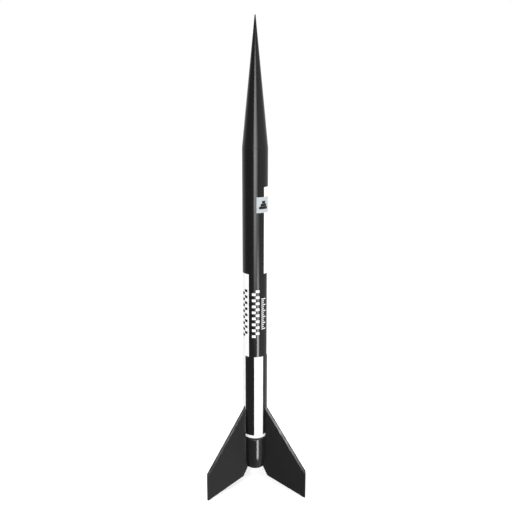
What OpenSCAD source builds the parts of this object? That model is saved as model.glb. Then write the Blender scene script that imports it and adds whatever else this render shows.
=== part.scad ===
// Model rocket: a paper body tube with a plastic nose cone and tail cone, three swept
// plywood fins let into the tail cone, and an 18 mm motor mount with a spring-steel hook.
// The origin is the centre of the motor tube's aft end. +Z runs to the nose, and -Y is the
// side between the two front fins. Directions round the body are angles from -Y towards +X.

/* [Body tube] */
// Outside diameter of the body tube
tube_od = 33.7; // [32:0.1:42]
// Thickness of the body tube's paper wall
tube_wall = 0.55; // [0.4:0.05:0.8]
// Length of the body tube
tube_len = 401; // [320:1:500]

/* [Nose cone] */
// Length of the nose cone ahead of the body tube
nose_len = 161.6; // [120:0.1:200]
// Radius of the nose cone's blunt tip
nose_tip_r = 0.65; // [0.5:0.05:1.5]
// Length of the shoulder inside the body tube
nose_shoulder_len = 27; // [18:1:35]
// Wall of the moulded nose cone
nose_wall = 1.3; // [1:0.1:2]
// Radial gap between the shoulder and the body tube
nose_fit = 0.08; // [0.04:0.01:0.1]

/* [Tail cone] */
// Radius of the tail cone's plain part
tail_r = 16; // [15.5:0.1:16.2]
// Radius at the tail cone's aft end
tail_end_r = 13.6; // [13.4:0.1:14.6]
// Length of the curved taper
tail_taper_len = 19; // [14:0.5:24]
// Height of the tail cone's plain part's forward rim
tail_rim_z = 44.8; // [42:0.1:55]
// Radius of the groove ahead of the rim
neck_r = 15; // [14.8:0.1:15.2]
// Width of the groove
neck_len = 3.7; // [2.6:0.1:6]
// Length of the shoulder glued into the body tube
tail_shoulder_len = 12; // [8:1:16]
// Wall of the moulded tail cone
tail_wall = 1.4; // [1.2:0.1:1.6]

/* [Motor mount] */
// Inside diameter of the motor tube
motor_bore_d = 18.1; // [17.9:0.05:18.2]
// Wall of the motor tube
motor_tube_wall = 0.35; // [0.3:0.05:0.4]
// Length of the motor tube
motor_tube_len = 67; // [64:1:78]
// Thickness of each centring ring
ring_t = 3.2; // [2.4:0.1:4]
// Thickness of the thrust ring, the motor's stop on the tube's forward end
thrust_ring_t = 3; // [2.5:0.1:4]
// Radius of the thrust ring's hole
thrust_ring_bore_r = 6.5; // [5:0.1:7]
// How far the motor stands out of its tube
motor_overhang = 3; // [2:0.5:6]

/* [Motor hook] */
// Width of the spring-steel strip
hook_w = 3.2; // [2.4:0.1:4]
// Thickness of the spring-steel strip
hook_t = 0.6; // [0.4:0.05:0.7]
// How far the hook reaches in over the end of the motor tube's bore
hook_reach = 1.85; // [1.4:0.05:1.9]
// Direction of the hook from the axis
hook_turn = 240; // [235:1:245]

/* [Fins] */
// Distance of the fin tips from the axis
fin_tip_r = 78.5; // [60:0.5:100]
// Thickness of the fin sheet
fin_t = 3.2; // [2.4:0.1:4]
// Height of the leading edge at the body tube
fin_root_z = 94.8; // [80:0.1:110]
// Height of the leading edge at the tip
fin_tip_top_z = 9.2; // [0:0.1:20]
// Height of the trailing edge at the tip, where the rocket stands
fin_tip_low_z = -32.2; // [-45:0.1:-20]
// Width of the sanded bevel along the leading edge
fin_bevel_w = 3.5; // [2:0.1:5]
// Thickness left at the leading edge
fin_edge_t = 0.9; // [0.6:0.1:1.6]
// Distance of the trailing edge's bend from the axis
fin_kink_r = 20.3; // [18:0.1:26]
// Height of the trailing edge's bend
fin_kink_z = -13.4; // [-20:0.1:-6]

/* [Launch lugs] */
// Inside diameter of a launch lug
lug_bore_d = 4; // [3.6:0.1:5]
// Wall of a launch lug
lug_wall = 0.3; // [0.25:0.05:0.5]
// Length of a launch lug
lug_len = 30; // [20:1:50]
// Direction of both lugs from the axis
lug_turn = 150; // [148:1:153]

/* [Recovery] */
// Radius of the packed parachute
chute_r = 14; // [10:0.5:14.4]
// Length of the packed parachute
chute_len = 90; // [60:1:110]

/* [Markings] */
// Thickness of the vinyl markings
vinyl_t = 0.1; // [0.08:0.01:0.15]
// Side of the square emblem decal
emblem_side = 20.4; // [15:0.1:22]

/* [Hidden] */
$fn = 96;

glue_gap = 0.05;                 // between two pieces that are glued
free_gap = 0.3;                  // between two pieces that move past each other
cut = 1;                         // how far a cutter runs past what it cuts

tube_r = tube_od / 2;
tube_bore_r = tube_r - tube_wall;
tube_low_z = tail_rim_z + neck_len;
tube_top_z = tube_low_z + tube_len;

nose_shoulder_r = tube_bore_r - nose_fit;
nose_shoulder_bore_r = nose_shoulder_r - nose_wall;
nose_base_round = 0.5;
nose_bore_top = nose_len - 3 * nose_wall * nose_len / tube_r;
plug_t = 2.5;
eyelet_r = 2.6;                  // centre line of the eyelet's ring
eyelet_wire_r = 0.9;

motor_bore_r = motor_bore_d / 2;
motor_tube_r = motor_bore_r + motor_tube_wall;
ring_bore_r = motor_tube_r + glue_gap;
ring_low_z = tail_rim_z + 0.1;   // the aft centring ring sits inside the groove
mount_top_z = motor_tube_len + thrust_ring_t;
ring_high_z = motor_tube_len - ring_t - 0.8;
neck_bore_r = neck_r - tail_wall;

tail_shoulder_r = tube_bore_r - glue_gap;
tail_shoulder_bore_r = tail_shoulder_r - tail_wall;
tail_shoulder_high_z = tube_low_z + tail_shoulder_len;
tail_shoulder_share = (ring_high_z - tube_low_z) / tail_shoulder_len;   // the forward ring's place along it
// The forward ring fits the body tube, or the shoulder's tapered bore where that reaches the ring
ring_seat_r = tail_shoulder_share < 1
  ? neck_bore_r + (tail_shoulder_bore_r - neck_bore_r) * max(0, tail_shoulder_share)
  : tube_bore_r;

tail_end_t = 3;
tail_end_round = 0.5;
tail_rim_round = 0.6;
taper_depth = tail_r - tail_end_r;
taper_curve_r = (pow(tail_taper_len, 2) + pow(taper_depth, 2)) / (2 * taper_depth);

hook_face_r = motor_tube_r + 0.1;
hook_low_z = -motor_overhang - 0.2;
hook_split_z = tube_low_z - free_gap;   // where the strip starts to flex
hook_swing = 2.4;
hook_travel = (hook_split_z - hook_low_z) * tan(hook_swing);
hook_notch_r = hook_face_r + hook_t + hook_travel + 0.35;
hook_notch_w = hook_w + 2 * free_gap;
hook_hidden_len = ring_high_z - hook_split_z;
hook_band_low_z = hook_split_z + 0.3 * hook_hidden_len;
hook_band_high_z = hook_split_z + 0.65 * hook_hidden_len;

fin_turns = [-60, 60, 180];
skin_r = tube_r + vinyl_t;
fin_seat_r = skin_r + glue_gap;
fin_tab_low_z = 8;
fin_tab_high_z = tail_rim_z - 4.8;
fin_foot = [tail_end_r + 0.1, -1.5];
fin_kink = [fin_kink_r, fin_kink_z];

lug_r = lug_bore_d / 2 + lug_wall;
lug_axis_r = skin_r + glue_gap + lug_r;
lug_aft_z = fin_root_z + 10;
lug_forward_z = tube_low_z + 0.58 * tube_len;

chute_top_z = tube_top_z - nose_shoulder_len - 10.5;
mount_t = 0.8;

// Heights where the roll pattern changes, as shares of the tube's length above its aft end
roll_z = [for (share = [0.0105, 0.3018, 0.591, 0.8778, 1]) tube_low_z + share * tube_len];
check_turn = 91;                 // from one black check to the next in the lower block
check_span = 47;
check_fin_gap = 0.16;            // between the left fin's side and the first check
check_fin_lap = 0.13;            // how far the third check runs under the rear fin
fin_side_turn = asin(fin_t / 2 / tube_r);
function turn_of(arc) = arc / tube_r * 180 / PI;
// Where each lower check starts. The first starts at the left fin, and the third ends at the rear one
first_check_turn = fin_turns[0] + fin_side_turn + turn_of(check_fin_gap);
check_turns = [
  first_check_turn,
  first_check_turn + check_turn,
  fin_turns[2] - fin_side_turn + turn_of(check_fin_lap) - check_span,
  first_check_turn + 3 * check_turn
];
middle_turn = -32.5;
middle_span = 96.5;

emblem_turn = 37.5;
emblem_z = roll_z[3] - 22.9;
scale_z = (roll_z[1] + roll_z[2]) / 2 + 3.5;

// A cylinder wall between two radii
module ring(outer_r, inner_r, low_z, high_z) {
  translate([0, 0, low_z])
    difference() {
      cylinder(r = outer_r, h = high_z - low_z);
      translate([0, 0, -cut]) cylinder(r = inner_r, h = high_z - low_z + 2 * cut);
    }
}

// Part of a ring, from one direction round the body to another
module skin(inner_r, low_z, high_z, from_turn, to_turn, thickness = vinyl_t) {
  rotate([0, 0, from_turn - 90])
    rotate_extrude(angle = to_turn - from_turn)
      translate([inner_r, low_z]) square([thickness, high_z - low_z]);
}

// Places a piece that is drawn along +X in a direction round the body
module toward(turn) {
  rotate([0, 0, turn - 90]) children();
}

// A slot cut outward from the axis, for the hook
module hook_slot(from_r, to_r, low_z, high_z) {
  toward(hook_turn)
    translate([from_r, -hook_notch_w / 2, low_z])
      cube([to_r - from_r, hook_notch_w, high_z - low_z]);
}

module nose_cone() {
  color("#1b1b1d")
    difference() {
      translate([0, 0, tube_top_z])
        union() {
          rotate_extrude()
            polygon([
              [0, 0], [tube_r - nose_base_round, 0], [tube_r - 0.15, 0.15],
              [tube_r, nose_base_round], [nose_tip_r, nose_len - nose_tip_r],
              for (a = [15 : 15 : 75])
                [nose_tip_r * cos(a), nose_len - nose_tip_r + nose_tip_r * sin(a)],
              [0, nose_len]
            ]);
          translate([0, 0, -nose_shoulder_len]) cylinder(r = nose_shoulder_r, h = nose_shoulder_len);
        }
      translate([0, 0, tube_top_z - nose_shoulder_len - cut])
        cylinder(r = nose_shoulder_bore_r, h = nose_shoulder_len + cut + nose_base_round);
      translate([0, 0, tube_top_z + nose_base_round - 0.1])
        cylinder(r1 = nose_shoulder_bore_r, r2 = nose_wall, h = nose_bore_top);
    }
}

module nose_plug() {
  plug_low_z = tube_top_z - nose_shoulder_len;
  color("#1b1b1d")
    union() {
      translate([0, 0, plug_low_z]) cylinder(r = nose_shoulder_bore_r - glue_gap, h = plug_t);
      translate([0, 0, plug_low_z - eyelet_r + 0.3])
        rotate([90, 0, 0]) rotate_extrude() translate([eyelet_r, 0]) circle(r = eyelet_wire_r);
    }
}

module body_tube() {
  color("white") ring(tube_r, tube_bore_r, tube_low_z, tube_top_z);
}

module shock_cord_mount() {
  color("#d8cfb8")
    skin(tube_bore_r - glue_gap - mount_t, chute_top_z - 32, chute_top_z - 8, 130, 230, mount_t);
}

module parachute() {
  color("#e4602a")
    translate([0, 0, chute_top_z - chute_len]) cylinder(r = chute_r, h = chute_len);
}

module tail_cone() {
  color("#141416")
    difference() {
      rotate_extrude()
        polygon([
          [ring_bore_r, 0], [tail_end_r - tail_end_round, 0], [tail_end_r - 0.1, 0.2],
          for (z = [tail_end_round : (tail_taper_len - tail_end_round) / 8 : tail_taper_len - 0.1])
            [tail_r - taper_curve_r + sqrt(pow(taper_curve_r, 2) - pow(tail_taper_len - z, 2)), z],
          [tail_r, tail_taper_len], [tail_r, tail_rim_z - tail_rim_round],
          [tail_r - 0.18, tail_rim_z - 0.18], [tail_r - tail_rim_round, tail_rim_z],
          [neck_r, tail_rim_z], [neck_r, tube_low_z], [tail_shoulder_r, tube_low_z],
          [tail_shoulder_r, tail_shoulder_high_z], [tail_shoulder_bore_r, tail_shoulder_high_z],
          [neck_bore_r, tube_low_z], [neck_bore_r, tail_rim_z - tail_wall],
          [tail_r - tail_wall, tail_rim_z - 2 * tail_wall], [tail_r - tail_wall, tail_taper_len],
          [tail_end_r - tail_wall, tail_end_t], [ring_bore_r, tail_end_t]
        ]);
      for (turn = fin_turns)
        toward(turn)
          translate([motor_tube_r + 1, -fin_t / 2 - glue_gap, fin_tab_low_z - glue_gap])
            cube([tail_r, fin_t + 2 * glue_gap, fin_tab_high_z - fin_tab_low_z + 2 * glue_gap]);
      hook_slot(0, hook_notch_r, -cut, tail_end_t + cut);
    }
}

module motor_tube() {
  color("#b98a5a") ring(motor_tube_r, motor_bore_r, 0, motor_tube_len);
}

module thrust_ring() {
  color("#c49a6c")
    ring(motor_tube_r, thrust_ring_bore_r, motor_tube_len, mount_top_z);
}

module centering_ring_forward() {
  color("#d2b48c")
    difference() {
      ring(ring_seat_r - glue_gap, ring_bore_r, ring_high_z, ring_high_z + ring_t);
      hook_slot(0, hook_face_r + hook_t + 0.2, ring_high_z - cut, ring_high_z + ring_t + cut);
    }
}

module centering_ring_aft() {
  color("#d2b48c")
    difference() {
      ring(neck_bore_r - glue_gap, ring_bore_r, ring_low_z, ring_low_z + ring_t);
      hook_slot(0, hook_face_r + hook_t + 0.8, ring_low_z - cut, ring_low_z + ring_t + cut);
    }
}

module hook_band() {
  color("#8a6a45")
    difference() {
      ring(hook_face_r + hook_t + 0.6, ring_bore_r, hook_band_low_z, hook_band_high_z);
      hook_slot(0, hook_face_r + hook_t + glue_gap, hook_band_low_z - cut, hook_band_high_z + cut);
    }
}

// A strip of spring steel seen from its edge: outline points are radius and height
module hook_strip(outline) {
  color("#8d9094")
    toward(hook_turn)
      rotate([90, 0, 0]) linear_extrude(height = hook_w, center = true) polygon(outline);
}

module hook_anchor() {
  top_z = mount_top_z + 0.1;
  back_r = hook_face_r + hook_t;
  hook_strip([
    [hook_face_r, hook_split_z + free_gap], [back_r, hook_split_z + free_gap],
    [back_r, top_z + hook_t], [thrust_ring_bore_r + 0.5, top_z + hook_t],
    [thrust_ring_bore_r + 0.5, top_z], [hook_face_r, top_z]
  ]);
}

module hook_arm() {
  back_r = hook_face_r + hook_t;
  hook_strip([
    [hook_face_r, hook_split_z], [back_r, hook_split_z],
    [back_r, hook_low_z - hook_t], [motor_bore_r - hook_reach, hook_low_z - hook_t],
    [motor_bore_r - hook_reach, hook_low_z], [hook_face_r, hook_low_z]
  ]);
}

// The surface that the fin roots are sanded to: the tail cone, then the body tube
module fin_seat() {
  rotate_extrude()
    polygon([
      [0, -cut], [tail_end_r + glue_gap, -cut], [tail_end_r + glue_gap, tail_end_round],
      for (z = [tail_end_round : (tail_taper_len - tail_end_round) / 8 : tail_taper_len])
        [glue_gap + tail_r - taper_curve_r
          + sqrt(pow(taper_curve_r, 2) - pow(max(0, tail_taper_len - z), 2)), z],
      [tail_r + glue_gap, tail_rim_z], [fin_seat_r, tube_low_z],
      [fin_seat_r, fin_root_z + 10], [0, fin_root_z + 10]
    ]);
}

module fin(turn) {
  edge_root = [tube_r, fin_root_z];
  edge_tip = [fin_tip_r, fin_tip_top_z];
  edge = edge_root - edge_tip;
  inward = [edge.y, -edge.x] / norm(edge) * -1;
  slope = (fin_t - fin_edge_t) / 2 / fin_bevel_w;
  color("#1a1a1c")
    toward(turn)
      difference() {
        rotate([90, 0, 0])
          difference() {
            linear_extrude(height = fin_t, center = true)
              polygon([
                fin_foot, fin_kink, [fin_tip_r, fin_tip_low_z], edge_tip, edge_root,
                [tube_r - 1, fin_root_z], [tube_r - 1, fin_tab_high_z],
                [ring_bore_r, fin_tab_high_z], [ring_bore_r, fin_tab_low_z],
                [fin_foot.x - 2, fin_tab_low_z], [fin_foot.x - 2, 0], [fin_foot.x, 0]
              ]);
            for (side = [0, 1])
              mirror([0, 0, side])
                translate([edge_tip.x, edge_tip.y, 0])
                  rotate([90, 0, atan2(inward.y, inward.x)])
                    translate([0, 0, -5])
                      linear_extrude(height = norm(edge) + 10)
                        polygon([
                          [-1, fin_edge_t / 2 - slope], [fin_bevel_w, fin_t / 2],
                          [fin_bevel_w, fin_t], [-1, fin_t]
                        ]);
          }
        difference() {
          fin_seat();
          translate([0, -fin_t, fin_tab_low_z])
            cube([tail_r + 2, 2 * fin_t, fin_tab_high_z - fin_tab_low_z]);
        }
      }
}

module fin_left() { fin(fin_turns[0]); }
module fin_right() { fin(fin_turns[1]); }
module fin_rear() { fin(fin_turns[2]); }

module launch_lug(middle_z) {
  color("#e9e6df")
    toward(lug_turn)
      translate([lug_axis_r, 0, 0])
        ring(lug_r, lug_bore_d / 2, middle_z - lug_len / 2, middle_z + lug_len / 2);
}

module launch_lug_forward() { launch_lug(lug_forward_z); }
module launch_lug_aft() { launch_lug(lug_aft_z + lug_len / 2); }

module wrap_forward() { color("black") ring(skin_r, tube_r, roll_z[3], roll_z[4]); }
module wrap_upper() { color("black") skin(tube_r, roll_z[2], roll_z[3], -140, 40); }

module wrap_middle(turn) {
  color("black") skin(tube_r, roll_z[1], roll_z[2], turn, turn + middle_span);
}

module wrap_middle_front() { wrap_middle(middle_turn); }
module wrap_middle_back() { wrap_middle(middle_turn + 180); }

module wrap_lower(place) {
  color("black") skin(tube_r, roll_z[0], roll_z[1], check_turns[place], check_turns[place] + check_span);
}

module wrap_lower_left() { wrap_lower(0); }
module wrap_lower_right() { wrap_lower(1); }
module wrap_lower_back_right() { wrap_lower(2); }
module wrap_lower_back_left() { wrap_lower(3); }

module emblem_decal() {
  half_turn = emblem_side / skin_r * 90 / PI;
  color("#c9ccd1")
    skin(skin_r, emblem_z - emblem_side / 2, emblem_z + emblem_side / 2,
      emblem_turn - half_turn, emblem_turn + half_turn);
}

// The emblem's printed figure: three bars, each shorter than the one below it
module emblem_mark() {
  bar_pitch = 3.6;
  bar_gap = 0.2;
  color("#2b2d31")
    for (step = [0 : 2])
      skin(skin_r + vinyl_t,
        emblem_z + (step - 1.5) * bar_pitch, emblem_z + (step - 0.5) * bar_pitch - bar_gap,
        emblem_turn - 23 + 7 * step, emblem_turn + 23 - 7 * step);
}

// A staff scale: blocks that stand to the left and right in turn
module staff(rows, pitch, from_turn, to_turn, inner_r) {
  block_h = pitch - 0.6;
  divide_turn = (from_turn + to_turn) / 2;
  for (i = [0 : rows - 1])
    skin(inner_r, scale_z + (i - rows / 2) * pitch, scale_z + (i - rows / 2) * pitch + block_h,
      i % 2 == 0 ? from_turn : divide_turn, i % 2 == 0 ? divide_turn : to_turn);
}

// A ruler: thin lines, every third one long
module ruler(rows, pitch, from_turn, to_turn, inner_r) {
  line_h = 1.2;
  for (i = [0 : rows - 1])
    skin(inner_r, scale_z + (i - rows / 2) * pitch, scale_z + (i - rows / 2) * pitch + line_h,
      from_turn, i % 3 == 0 ? to_turn : from_turn + 0.55 * (to_turn - from_turn));
}

module scale_light() { color("white") staff(16, 4.2, -17, 17, skin_r); }
module scale_dark() { color("black") staff(16, 4.2, -73, -40, tube_r); }
module ticks_light() { color("white") ruler(16, 2.8, 27, 51, skin_r); }

nose_cone();
nose_plug();
body_tube();
shock_cord_mount();
parachute();
tail_cone();
motor_tube();
thrust_ring();
centering_ring_forward();
centering_ring_aft();
hook_band();
hook_anchor();
hook_arm();
fin_left();
fin_right();
fin_rear();
launch_lug_forward();
launch_lug_aft();
wrap_forward();
wrap_upper();
wrap_middle_front();
wrap_middle_back();
wrap_lower_left();
wrap_lower_right();
wrap_lower_back_right();
wrap_lower_back_left();
emblem_decal();
emblem_mark();
scale_light();
scale_dark();
ticks_light();
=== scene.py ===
import math

import bmesh
import bpy
import numpy as np
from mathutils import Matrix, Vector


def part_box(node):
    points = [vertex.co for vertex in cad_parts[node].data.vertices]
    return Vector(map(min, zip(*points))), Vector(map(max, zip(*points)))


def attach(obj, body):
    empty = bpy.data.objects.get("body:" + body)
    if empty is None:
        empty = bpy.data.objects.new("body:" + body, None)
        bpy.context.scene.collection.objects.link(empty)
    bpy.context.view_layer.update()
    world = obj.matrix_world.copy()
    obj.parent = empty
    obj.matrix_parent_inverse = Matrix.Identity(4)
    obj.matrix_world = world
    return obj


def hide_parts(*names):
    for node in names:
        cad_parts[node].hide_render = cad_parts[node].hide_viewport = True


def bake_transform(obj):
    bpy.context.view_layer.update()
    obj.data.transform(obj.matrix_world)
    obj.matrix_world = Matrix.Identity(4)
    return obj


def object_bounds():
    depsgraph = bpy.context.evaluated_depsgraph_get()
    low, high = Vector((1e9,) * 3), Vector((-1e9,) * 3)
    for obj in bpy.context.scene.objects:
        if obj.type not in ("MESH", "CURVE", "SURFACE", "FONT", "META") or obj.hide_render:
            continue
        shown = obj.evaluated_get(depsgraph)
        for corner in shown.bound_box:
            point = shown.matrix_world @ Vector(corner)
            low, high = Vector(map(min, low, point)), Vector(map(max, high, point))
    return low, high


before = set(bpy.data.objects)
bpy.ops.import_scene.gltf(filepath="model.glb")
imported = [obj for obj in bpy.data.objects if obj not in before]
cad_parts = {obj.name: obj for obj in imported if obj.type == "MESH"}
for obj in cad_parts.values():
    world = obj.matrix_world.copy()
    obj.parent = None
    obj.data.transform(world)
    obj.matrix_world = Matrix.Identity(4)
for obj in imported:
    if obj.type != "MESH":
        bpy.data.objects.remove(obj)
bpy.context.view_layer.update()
MM = 0.001

# --- Camera -------------------------------------------------------------------------
# A normal lens a little below the nose cone's base, looking slightly down. The rocket
# is turned three degrees, so the camera stands that much to the left of its front.
CAMERA_DISTANCE = 864.6 * MM
CAMERA_HEIGHT = 517.0 * MM
CAMERA_TURN = math.radians(-3.0)
CAMERA_TILT = math.radians(13.67)
camera = bpy.data.objects.new("camera", bpy.data.cameras.new("camera"))
camera.data.sensor_width = 36.0
camera.data.lens = 47.0
camera.data.shift_x = 0.0018
camera.data.clip_start = 0.01
camera.location = (
    CAMERA_DISTANCE * math.sin(CAMERA_TURN),
    -CAMERA_DISTANCE * math.cos(CAMERA_TURN),
    CAMERA_HEIGHT,
)
camera.rotation_euler = (math.pi / 2 - CAMERA_TILT, 0.0, CAMERA_TURN)
bpy.context.scene.collection.objects.link(camera)
bpy.context.scene.camera = camera

# --- Studio ---------------------------------------------------------------------------
# A white sweep under soft light: the room is brightest at the sides and behind, and tall
# slim strips draw the thin lines of light that run down the body.


def linear(code):
    """An sRGB hex colour as linear red, green, blue and alpha."""
    srgb = np.array([int(code[i:i + 2], 16) for i in (1, 3, 5)]) / 255
    light = np.where(srgb <= 0.04045, srgb / 12.92, ((srgb + 0.055) / 1.055) ** 2.4)
    return (*light.tolist(), 1.0)


def add_node(tree, kind, inputs=(), **settings):
    """Adds one node. Settings are its own properties, and inputs pairs a socket's name or
    number with a value or with another node's output."""
    node = tree.nodes.new(kind)
    for name, value in settings.items():
        setattr(node, name, value)
    for socket, value in dict(inputs).items():
        if isinstance(value, bpy.types.NodeSocket):
            tree.links.new(value, node.inputs[socket])
        else:
            node.inputs[socket].default_value = value
    return node


def add_lamp(name, location, target, size, watts):
    """A rectangular lamp at a place, turned to a target, hidden from the camera."""
    lamp = bpy.data.objects.new(name, bpy.data.lights.new(name, "AREA"))
    lamp.data.shape = "RECTANGLE"
    lamp.data.size, lamp.data.size_y = size
    lamp.data.energy = watts
    lamp.location = location
    away = np.array(location) - np.array(target)
    lamp.rotation_euler = (
        math.atan2(math.hypot(away[0], away[1]), away[2]),
        0.0,
        math.atan2(away[0], -away[1]),
    )
    lamp.visible_camera = False
    bpy.context.scene.collection.objects.link(lamp)
    return lamp


room = bpy.data.worlds.new("white_studio")
room.use_nodes = True
bpy.context.scene.world = room
bpy.context.scene.view_settings.view_transform = "Standard"
room.node_tree.nodes.clear()
direction = add_node(room.node_tree, "ShaderNodeTexCoord").outputs["Generated"]
toward_dark_corner = add_node(
    room.node_tree, "ShaderNodeVectorMath", {0: direction, 1: (-0.62, -0.78, 0.0)}, operation="DOT_PRODUCT"
).outputs["Value"]
room_light = add_node(
    room.node_tree,
    "ShaderNodeMapRange",
    {"Value": toward_dark_corner, "From Min": 0.1, "From Max": 0.75, "To Min": 1.0, "To Max": 0.3},
    interpolation_type="SMOOTHSTEP",
).outputs["Result"]
lit = add_node(room.node_tree, "ShaderNodeBackground", {"Color": linear("#fbfcff"), "Strength": room_light})
seen = add_node(room.node_tree, "ShaderNodeBackground", {"Color": linear("#ffffff"), "Strength": 1.0})
camera_ray = add_node(room.node_tree, "ShaderNodeLightPath").outputs["Is Camera Ray"]
mixed = add_node(
    room.node_tree, "ShaderNodeMixShader", {0: camera_ray, 1: lit.outputs[0], 2: seen.outputs[0]}
)
add_node(room.node_tree, "ShaderNodeOutputWorld", {"Surface": mixed.outputs[0]})

floor_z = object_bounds()[0][2]
floor_mesh = bpy.data.meshes.new("floor")
rim = np.linspace(0, 2 * math.pi, 96, endpoint=False)
floor_mesh.from_pydata(
    np.stack([12 * np.cos(rim), 12 * np.sin(rim), np.full(96, floor_z)], 1).tolist(), [], [list(range(96))]
)
floor = bpy.data.objects.new("floor", floor_mesh)
bpy.context.scene.collection.objects.link(floor)
# A backlit sheet, so that it stays white to its far edge. Glossy pieces mirror the dim room and
# not the sheet, as they would on a sheet no bigger than the rocket's own picture.
sheet = bpy.data.materials.new("backlit_white_sheet")
sheet.use_nodes = True
for socket, value in {
    "Base Color": linear("#fafafa"), "Roughness": 0.9,
    "Emission Color": linear("#ffffff"), "Emission Strength": 0.3,
}.items():
    sheet.node_tree.nodes["Principled BSDF"].inputs[socket].default_value = value
floor_mesh.materials.append(sheet)
floor.visible_glossy = False


def polar(distance, turn, height):
    """A place at a distance from the rocket's axis, in a direction round it in degrees."""
    return (distance * math.sin(math.radians(turn)), -distance * math.cos(math.radians(turn)), height)


add_lamp("overhead_softbox", (0.5, 0.1, 2.2), (0, 0, 0.2), (2.0, 2.0), 8)
add_lamp("front_softbox", (-0.1, -1.5, 2.1), (0, 0, 0.25), (1.0, 1.0), 44)
# Two tall strips draw the lines of light down the body's front, and a third down its back. Each
# fades toward one end, as a lamp behind a graded diffuser does: the lower one upward, the others
# downward. The upper one fades to its right as well, which gives its line one soft side.
upper_strip = add_lamp("upper_strip", polar(0.5, 3.2, 0.345), polar(0, 0, 0.345), (0.302, 0.73), 7.2)
back_strip = add_lamp("back_strip", polar(0.7, 178.0, 0.40), polar(0, 0, 0.40), (0.12, 0.8), 3.5)
lower_strip = add_lamp("lower_strip", polar(0.1, 21.5, 0.158), polar(0, 0, 0.158), (0.026, 0.406), 0.7)
strip_group = bpy.data.collections.new("black_gloss_pieces")
for lamp, low_strength, full_from, full_to, right_strength in (
    (upper_strip, 0.05, 0.05, 0.5, 0.1), (lower_strip, 1.0, 0.4, 0.9, 1.0), (back_strip, 0.2, 0.0, 0.7, 1.0),
):
    lamp.light_linking.receiver_collection = strip_group
    lamp.light_linking.blocker_collection = strip_group
    lamp.data.use_nodes = True
    tree = lamp.data.node_tree
    across_lamp, up_lamp = add_node(
        tree, "ShaderNodeSeparateXYZ", {0: add_node(tree, "ShaderNodeNewGeometry").outputs["Parametric"]}
    ).outputs[:2]
    by_height = add_node(tree, "ShaderNodeMapRange", {
        "Value": up_lamp, "From Min": full_from, "From Max": full_to,
        "To Min": low_strength, "To Max": 1.0 if low_strength < 1 else 0.1,
    })
    by_side = add_node(tree, "ShaderNodeMapRange", {
        "Value": across_lamp, "From Min": 0.38, "From Max": 1.0, "To Min": 1.0, "To Max": right_strength,
    })
    graded = add_node(
        tree, "ShaderNodeMath", {0: by_height.outputs[0], 1: by_side.outputs[0]}, operation="MULTIPLY"
    )
    tree.links.new(graded.outputs[0], tree.nodes["Emission"].inputs["Strength"])

# Two small lamps light nothing but the fins, each from where one fin's bevel mirrors it.
fin_group = bpy.data.collections.new("fins_only")
for lamp_name, lamp_turn, watts in (("left_bevel_lamp", 28.0, 0.9), ("right_bevel_lamp", -23.0, 6.0)):
    lamp = add_lamp(lamp_name, polar(0.6, lamp_turn, -0.05), polar(0, 0, 0.05), (0.10, 0.10), watts)
    lamp.light_linking.receiver_collection = fin_group

# --- Body tube ------------------------------------------------------------------------
# A spiral-wound paper tube: brown kraft inside, a white glassine layer outside. The
# winding leaves one fine seam that climbs the tube like a screw thread.


def rounded(corners, steps=5):
    """A closed outline of (radius, height, fillet) corners, in mm. Each fillet becomes an arc that
    touches both sides: its centre is on the corner's bisector, a fillet over sin(half angle) away."""
    corner = np.array(corners, float)
    outline = []
    for before, here, after in zip(np.roll(corner, 1, 0), corner, np.roll(corner, -1, 0)):
        if here[2] == 0:
            outline.append(here[:2])
            continue
        back, on = before[:2] - here[:2], after[:2] - here[:2]
        back, on = back / np.linalg.norm(back), on / np.linalg.norm(on)
        half = math.acos(np.clip(back @ on, -1, 1)) / 2
        centre = here[:2] + (back + on) / np.linalg.norm(back + on) * here[2] / math.sin(half)
        first = here[:2] + back * here[2] / math.tan(half) - centre
        last = here[:2] + on * here[2] / math.tan(half) - centre
        start = math.atan2(first[1], first[0])
        sweep = (math.atan2(last[1], last[0]) - start + math.pi) % (2 * math.pi) - math.pi
        angle = start + sweep * np.linspace(0, 1, steps + 1)
        outline.extend(centre + here[2] * np.stack([np.cos(angle), np.sin(angle)], 1))
    return np.array(outline)


def grid_faces(rows, columns, wrap_rows=False, wrap_columns=False):
    """Four-sided faces over a grid of points kept row by row. A wrapped way joins its ends."""
    i = np.arange(rows if wrap_rows else rows - 1)[:, None]
    j = np.arange(columns if wrap_columns else columns - 1)[None, :]
    i_next, j_next = (i + 1) % rows, (j + 1) % columns
    corners = (i * columns + j, i * columns + j_next, i_next * columns + j_next, i_next * columns + j)
    return np.stack(corners, -1).reshape(-1, 4).tolist()


def add_piece(name, points, faces, material, body, stands_for, sharp=32, lit_by_strips=False):
    """Makes one piece from points in mm, closes its doubles, turns its faces outward, shades it
    smooth up to a sharp angle in degrees, ties it to a body and hides the CAD nodes it shows."""
    mesh = bpy.data.meshes.new(name)
    mesh.from_pydata((np.asarray(points).reshape(-1, 3) * MM).tolist(), [], faces)
    work = bmesh.new()
    work.from_mesh(mesh)
    bmesh.ops.remove_doubles(work, verts=work.verts, dist=1e-6)
    bmesh.ops.recalc_face_normals(work, faces=work.faces)
    work.to_mesh(mesh)
    work.free()
    mesh.shade_smooth()
    mesh.set_sharp_from_angle(angle=math.radians(sharp))
    mesh.materials.append(material)
    piece = bpy.data.objects.new(name, mesh)
    bpy.context.scene.collection.objects.link(piece)
    piece.modifiers.new("large_faces_stay_true", "WEIGHTED_NORMAL").keep_sharp = True
    if lit_by_strips:
        strip_group.objects.link(piece)
    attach(piece, body)
    if stands_for:
        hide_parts(*stands_for)
    return piece


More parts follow.
